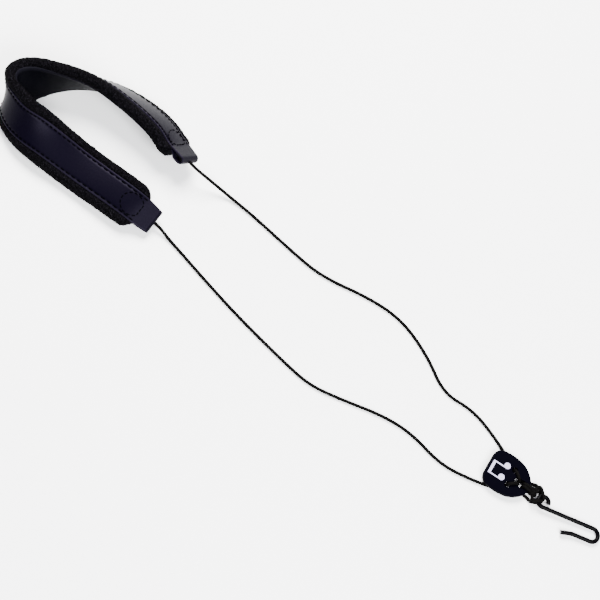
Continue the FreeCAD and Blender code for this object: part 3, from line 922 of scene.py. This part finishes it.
def make_end_stitches(side):
    """A circle of stitches cut by a straight row near the strip's end."""
    fine = np.linspace(0, LAST, 1600)
    run = run_lengths(MIDDLE(fine))

    def seam(back, width):
        distance = back if side == "near" else run[-1] - back
        return np.interp(distance, run, fine), width

    row_reach = END_SEAM_BACK - END_SEAM_ROW_BACK
    row_half = math.sqrt(END_SEAM_R ** 2 - row_reach ** 2)
    first_turn = math.atan2(row_half, row_reach)
    arc = 2 * (math.pi - first_turn)
    flat = []
    for index in range(END_SEAM_ROW_STITCHES):
        width = row_half * (2 * (index + 0.5) / END_SEAM_ROW_STITCHES - 1)
        flat.append([seam(END_SEAM_ROW_BACK, width - STITCH_LENGTH / 2),
                     seam(END_SEAM_ROW_BACK, width + STITCH_LENGTH / 2)])
    turns = int(arc * END_SEAM_R / STITCH_PITCH)
    spread = STITCH_LENGTH / END_SEAM_R / 2
    for index in range(turns):
        turn = first_turn + arc * (index + 0.5) / turns
        flat.append([seam(END_SEAM_BACK - END_SEAM_R * math.cos(angle), END_SEAM_R * math.sin(angle))
                     for angle in (turn - spread, turn + spread)])
    spans = []
    for ends in flat:
        lifted = []
        for step, width in ends:
            share = width / (STRIP_END_WIDTH / 2)
            rise = END_SEAM_RISE * crown_share(step) * (1 - share * share)
            lifted.append(pad_point(step, width, STRIP_HIGH + rise))
        normal = pad_frames(np.array([ends[0][0]]))[3][0]
        spans.append((lifted[0], lifted[1], normal))
    stitches("end_seam_" + side + "_thread", spans, "end_seam_" + side)


make_strip()
make_cover()
make_lining()
make_edge_stitches(1, "stitches_upper")
make_edge_stitches(-1, "stitches_lower")
for side, _ in SIDES:
    make_end_stitches(side)


# ---------------------------------------------------------------- slider

def add_outline(curve, points):
    line = curve.splines.new("POLY")
    line.points.add(len(points) - 1)
    for place, point in zip(line.points, points):
        place.co = (point[0] * MM, point[1] * MM, 0.0, 1.0)
    line.use_cyclic_u = True


def arc_points(centre, radius, first, last, count):
    angles = np.radians(np.linspace(first, last, count))
    return [(centre[0] + radius * math.cos(a), centre[1] + radius * math.sin(a)) for a in angles]


def make_plate():
    """The moulded plate with rounded edges all round, in its holes as well."""
    half = [(0.0, TOP_EDGE_HALF), *PLATE_HALF_OUTLINE, (PLATE_TIP, 0.0)]
    other = [(x, -y) for x, y in reversed(half[:-1])]
    knots = np.array([*half, *other])
    smooth = spline(knots, (0.2, 2.5), (-0.2, 2.5))(np.linspace(0, len(knots) - 1, 220))
    curve = bpy.data.curves.new("slider_plate_moulded", "CURVE")
    curve.dimensions = "2D"
    curve.fill_mode = "BOTH"
    round_edge = 0.75
    curve.extrude = (PLATE_THICK / 2 - round_edge) * MM
    curve.bevel_depth = round_edge * MM
    curve.bevel_resolution = 5
    curve.offset = -round_edge * MM
    add_outline(curve, smooth)
    for sign in (-1, 1):
        add_outline(curve, arc_points((SIDE_HOLE[0], sign * SIDE_HOLE[1]), SIDE_HOLE[2], 360, 11, 32))
    first = CENTRE_SLOT_X[0] + CENTRE_SLOT_HALF
    second = CENTRE_SLOT_X[1] - CENTRE_SLOT_HALF
    add_outline(curve, arc_points((second, 0), CENTRE_SLOT_HALF, 90, -90, 18)
                + arc_points((first, 0), CENTRE_SLOT_HALF, 270, 90, 18))
    holder = bpy.data.objects.new("slider_plate_moulded", curve)
    bpy.context.scene.collection.objects.link(holder)
    mesh = bpy.data.meshes.new_from_object(holder)
    bpy.data.objects.remove(holder)
    bpy.data.curves.remove(curve)
    mesh.transform(Matrix.Translation(
        Vector((SLIDER_X, SLIDER_Y, PLATE_BOTTOM + PLATE_THICK / 2)) * MM))
    mesh.materials.clear()
    mesh.materials.append(SLIDER)
    plate = bpy.data.objects.new("slider_plate_moulded", mesh)
    bpy.context.scene.collection.objects.link(plate)
    finish_piece(plate, "slider", "slider", "slider_plate")


make_plate()


# ---------------------------------------------------------------- hook

# The coating is drawn a little thicker than the wire's own diameter, to look as thick as it should.
COATING_EXTRA = 0.15


def hook_centres():
    """Middle of the hook's wire: eye, shank, bend, return leg and flared tip."""
    shank_v = -EYE_R
    return_v = shank_v - 2 * HOOK_BEND_R
    flare = math.radians(TIP_FLARE)
    local = arc_points((0, 0), EYE_R, EYE_END_ANGLE, 270, 90)
    local += [(u, shank_v) for u in np.linspace(0, HOOK_BEND_U, 60)[1:]]
    local += arc_points((HOOK_BEND_U, shank_v - HOOK_BEND_R), HOOK_BEND_R, 90, -90, 50)[1:]
    local += [(u, return_v) for u in np.linspace(HOOK_BEND_U, RETURN_U + 1.5, 20)[1:]]
    bend = spline([(RETURN_U + 1.5, return_v), (RETURN_U - 0.3, return_v - 0.15),
                   (RETURN_U - 2.5 * math.cos(flare), return_v - 2.5 * math.sin(flare))],
                  (-1.6, 0), (-2.2 * math.cos(flare), -2.2 * math.sin(flare)))
    local += [tuple(point) for point in bend(np.linspace(0, 2, 12)[1:])]
    for reach in np.linspace(2.5, TIP_LENGTH, 12)[1:]:
        local.append((RETURN_U - reach * math.cos(flare), return_v - reach * math.sin(flare)))
    turn = Matrix.Rotation(math.radians(HOOK_TURN), 3, "Z")
    tilt = Matrix.Rotation(math.radians(HOOK_TILT), 3, "Y")
    return np.array([Vector(EYE) + turn @ tilt @ Vector((u, v, 0)) for u, v in local])


def make_hook():
    """The coating, cut square at both ends with the wire's end showing."""
    centres = hook_centres()
    tangents, side, other = path_frames(centres)
    sides = 28
    angles = np.linspace(0, 2 * math.pi, sides, endpoint=False)
    circle = (np.cos(angles)[None, :, None] * side[:, None, :]
              + np.sin(angles)[None, :, None] * other[:, None, :])
    soft = 0.25
    outside = WIRE_D / 2 + COATING_EXTRA
    rings = []
    for end, sign in ((0, 1), (-1, -1)):
        cap = [centres[end] + circle[end] * (WIRE_CORE_D / 2) + tangents[end] * sign * 0.3,
               centres[end] + circle[end] * (WIRE_CORE_D / 2),
               centres[end] + circle[end] * (outside - soft)]
        for angle in np.linspace(90, 0, 5)[1:]:
            turn = math.radians(angle)
            cap.append(centres[end] + circle[end] * (outside - soft + soft * math.cos(turn))
                       + tangents[end] * sign * (soft - soft * math.sin(turn)))
        rings.append(cap)
    body = [centre + ring * outside for centre, ring in zip(centres[1:-1], circle[1:-1])]
    skin = rings[0] + body + rings[1][::-1]
    coating = lofted("hook_coating_dipped", skin, COATING, np.arange(len(skin)), caps=False)
    finish_piece(coating, "hook", "coating", "hook_coating")


make_hook()

for node, material in (("foam_core", FOAM), ("slider_print", PRINT), ("hook_wire", STEEL)):
    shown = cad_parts[node]
    shown.data.materials.clear()
    shown.data.materials.append(material)


# ---------------------------------------------------------------- table and light

TABLE_LEVEL = -0.0002
TABLE_HALF = 4.0


def make_stage():
    """A plain pale table top."""
    surface = Surface("table", (0.93, 0.93, 0.93), 0.8, specular=0.1)
    surface.bump(surface.noise(300.0, 2.0), 0.00002, 0.2)
    mesh = bpy.data.meshes.new("table")
    corners = [(x * TABLE_HALF, y * TABLE_HALF, TABLE_LEVEL) for x, y in ((-1, -1), (1, -1), (1, 1), (-1, 1))]
    mesh.from_pydata(corners, [], [(0, 1, 2, 3)])
    mesh.materials.append(surface.material)
    table = bpy.data.objects.new("table", mesh)
    bpy.context.scene.collection.objects.link(table)


def add_light(name, place, aim, size, power, colour):
    data = bpy.data.lights.new(name, "AREA")
    data.shape = "DISK"
    data.size = size
    data.energy = power
    data.color = colour
    light = bpy.data.objects.new(name, data)
    light.location = place
    light.rotation_mode = "QUATERNION"
    light.rotation_quaternion = (Vector(aim) - Vector(place)).to_track_quat("-Z", "Y")
    bpy.context.scene.collection.objects.link(light)


def make_light():
    world = bpy.data.worlds.new("room")
    world.use_nodes = True
    background = world.node_tree.nodes["Background"]
    background.inputs["Color"].default_value = (0.95, 0.96, 1.0, 1.0)
    background.inputs["Strength"].default_value = 0.6
    bpy.context.scene.world = world
    add_light("soft_key", (-0.7, 0.9, 1.5), (0, 0, 0), 1.2, 215.0, (1.0, 0.99, 0.98))
    add_light("soft_fill", (0.9, -0.9, 1.3), (0, 0, 0), 1.2, 125.0, (0.97, 0.98, 1.0))


make_stage()
make_light()
